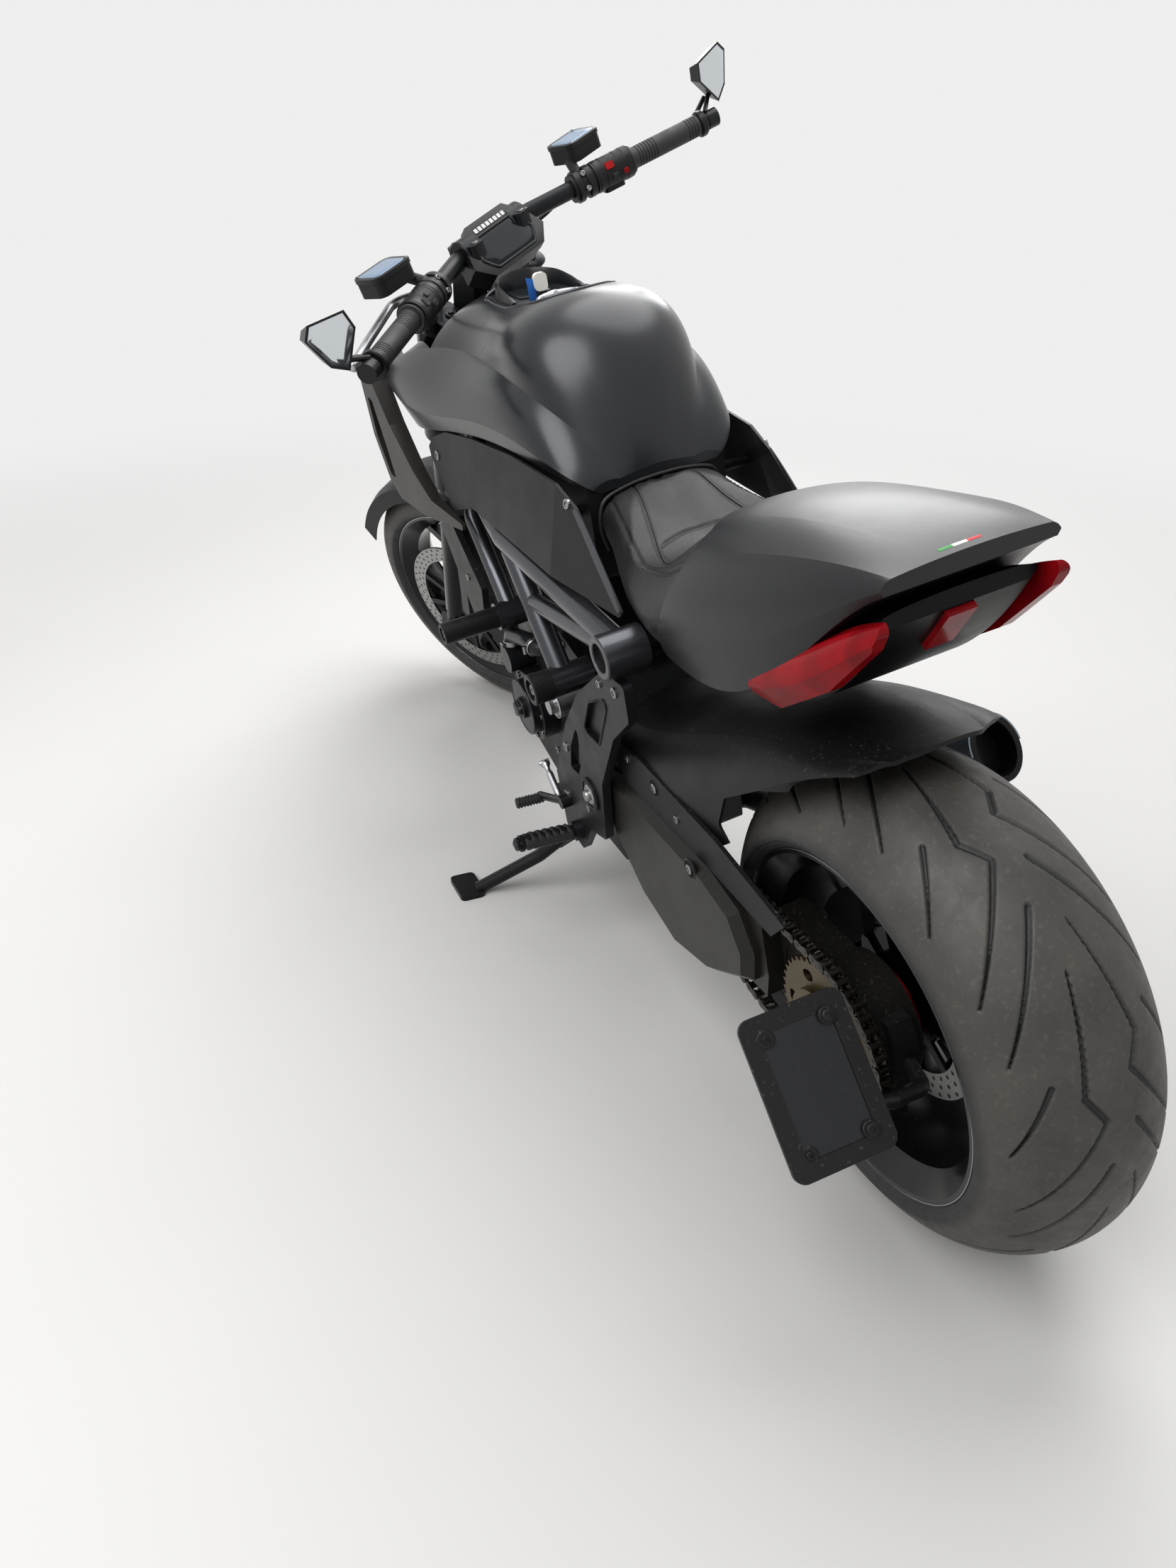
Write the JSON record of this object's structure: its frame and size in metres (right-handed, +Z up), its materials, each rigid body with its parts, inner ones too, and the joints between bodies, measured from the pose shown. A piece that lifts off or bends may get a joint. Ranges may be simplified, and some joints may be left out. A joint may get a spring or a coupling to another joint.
{
  "type": "power cruiser motorcycle",
  "caption": "Leaning power cruiser motorcycle with wide rear tyre, muscular tank, solo seat cowl, tubular frame and single-sided swingarm.",
  "frame": {"origin": "on the floor below the middle of the parked machine", "axes": "+X forward, +Y to the rider's left, +Z up; the machine leans about 10 degrees to the left on its side stand with the bars at the left stop"},
  "size_m": [2.1901, 0.8402, 1.3553],
  "materials": {
    "cast_frame": "satin black cast aluminium",
    "frame_tube": "satin gunmetal paint on steel tube",
    "moulded_black": "moulded, fine texture",
    "engine_case": "die cast, black satin",
    "engine_cover": "die cast, black satin",
    "bare_alloy": "bead blasted",
    "swingarm_paint": "satin black",
    "red_anodised": "red anodised",
    "brake_alloy": "anodised dark grey",
    "chain_steel": "plated",
    "bare_steel": "turned",
    "satin_paint": "satin black paint",
    "scoop_paint": "satin dark grey paint",
    "cowl_paint": "satin black paint",
    "radiator_core": "black fins",
    "seat_leather": "grained, stitched",
    "red_lens": "clear red",
    "exhaust_steel": "heat-proof black",
    "slider_black": "turned nylon",
    "plate_blank": "blank plate",
    "fork_black": "hard anodised black",
    "fork_inner": "coated black",
    "bar_black": "satin black",
    "grip_rubber": "ribbed",
    "hose_black": "braided hose in a black sleeve",
    "shield_blue": "heat-tinted light grey",
    "mirror_black": "satin black",
    "display_glass": "glossy dark screen",
    "lamp_glass": "smoked clear",
    "tyre_rubber": "worn tread",
    "wheel_black": "gloss black",
    "disc_steel": "ground",
    "sprocket_bronze": "hard anodised bronze",
    "stand_black": "satin black"
  },
  "bodies": {
    "chassis": {"airbox": "moulded_black", "belly_pan": "moulded_black", "chain": "chain_steel", "clutch_slave": "bare_alloy", "crankcase": "engine_case", "cylinders": "engine_case", "drive_sprocket": "bare_steel", "engine_covers": "engine_cover", "exhaust_headers": "exhaust_steel", "foot_controls": "cast_frame", "frame_sliders": "slider_black", "head_casting": "cast_frame", "heat_shield": "shield_blue", "hub_ring": "red_anodised", "hugger": "moulded_black", "number_plate": "plate_blank", "plate_holder": "moulded_black", "radiator": "radiator_core", "radiator_covers": "moulded_black", "rear_caliper": "brake_alloy", "scoops": "scoop_paint", "seat": "seat_leather", "seat_cowl": "cowl_paint", "side_panels": "moulded_black", "side_plates": "cast_frame", "silencer": "exhaust_steel", "swingarm": "swingarm_paint", "tail_lenses": "red_lens", "tank": "satin_paint", "trellis": "frame_tube", "undertail": "moulded_black"},
    "steering": {"triple_clamps": "fork_black", "fork_uppers": "fork_black", "fork_lowers": "fork_inner", "front_axle": "bare_steel", "front_mudguard": "moulded_black", "front_calipers": "brake_alloy", "handlebar": "bar_black", "grips": "grip_rubber", "switchgear": "moulded_black", "mirrors": "mirror_black", "instrument": "display_glass", "headlamp": "lamp_glass", "hydraulic_lines": "hose_black"},
    "front_wheel": {"front_tyre": "tyre_rubber", "front_rim": "wheel_black", "front_discs": "disc_steel"},
    "rear_wheel": {"rear_tyre": "tyre_rubber", "rear_rim": "wheel_black", "rear_disc": "disc_steel", "rear_sprocket": "sprocket_bronze"},
    "side_stand": {"side_stand": "stand_black"}
  },
  "joints": [
    {"name": "steering", "type": "hinge", "parent": "chassis", "child": "steering", "pos_m": [0.94678, -0.16296, -0.00922], "axis": [-0.4638, 0.1556, 0.8722], "range_deg": [-53.8, 0]},
    {"name": "front_wheel_spin", "type": "hinge", "parent": "steering", "child": "front_wheel", "pos_m": [0.81624, -0.0991, 0.28264], "axis": [-0.4019, 0.8404, -0.3636], "continuous": true},
    {"name": "rear_wheel_spin", "type": "hinge", "parent": "chassis", "child": "rear_wheel", "pos_m": [-0.77109, -0.10586, 0.32096], "axis": [-0.0012, 0.9843, -0.1762], "continuous": true},
    {"name": "side_stand_fold", "type": "hinge", "parent": "chassis", "child": "side_stand", "pos_m": [-0.00716, 0.01979, 0.1553], "axis": [0.0331, 0.6428, 0.7653], "range_deg": [0, 98]}
  ]
}
